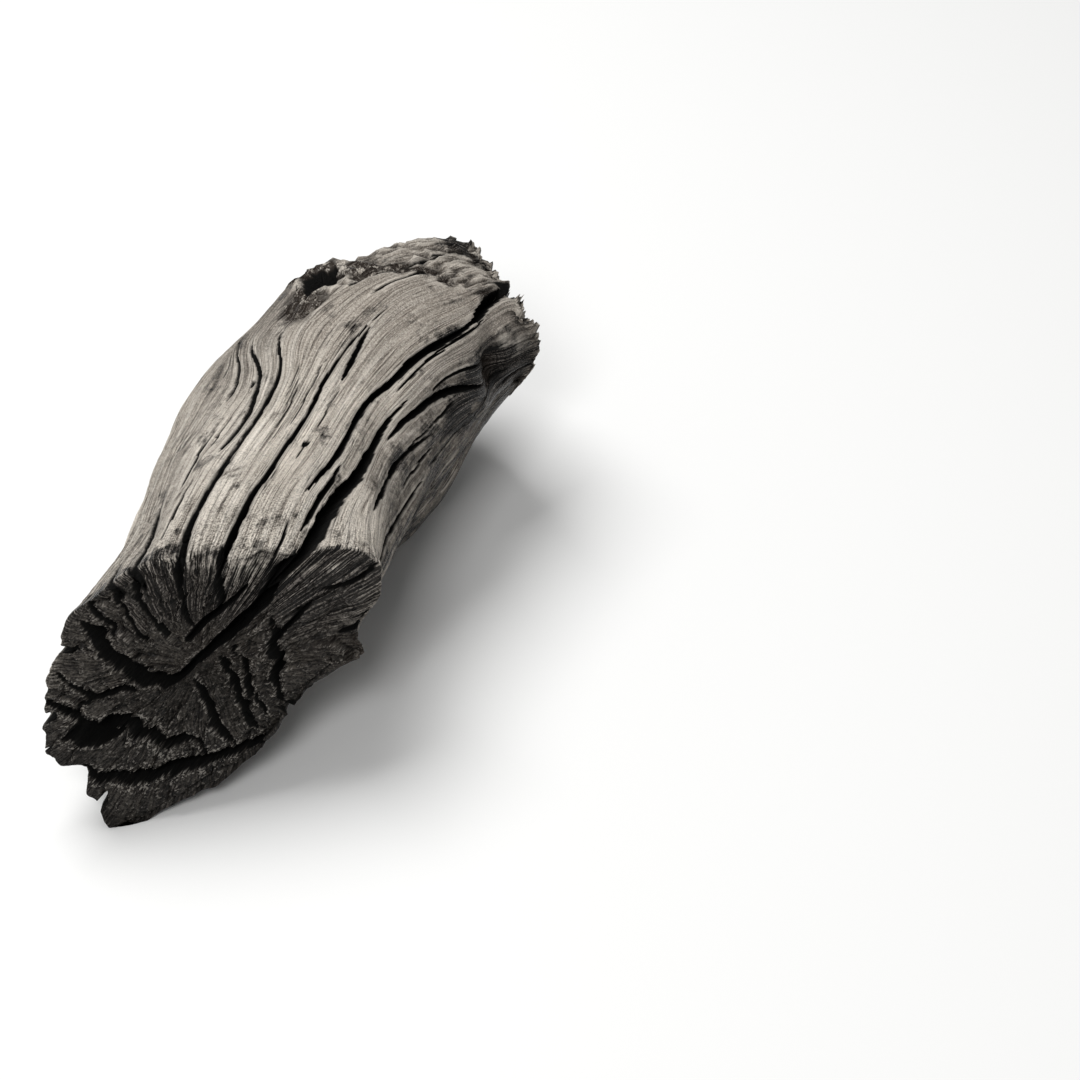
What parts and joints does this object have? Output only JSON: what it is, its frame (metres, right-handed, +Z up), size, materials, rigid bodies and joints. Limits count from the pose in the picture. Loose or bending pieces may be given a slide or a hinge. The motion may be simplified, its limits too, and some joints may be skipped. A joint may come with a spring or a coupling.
{
  "type": "hardwood charcoal lump",
  "caption": "Bent lump of charred hardwood with ashy grey ribbed sides, deep drying checks along the grain and a black cut end.",
  "frame": {"origin": "on the floor under the middle of the lump's box", "axes": "+Y along the grain from the black cut end to the broken end, +Z up as the lump rests, +X to the right seen from the cut end"},
  "size_m": [0.0886, 0.207, 0.0777],
  "materials": {
    "char": "matte charred wood, near black on its end and in its checks, with grey ash on its top and ribs"
  },
  "bodies": {
    "root": {"charcoal_lump": "char"}
  },
  "joints": []
}
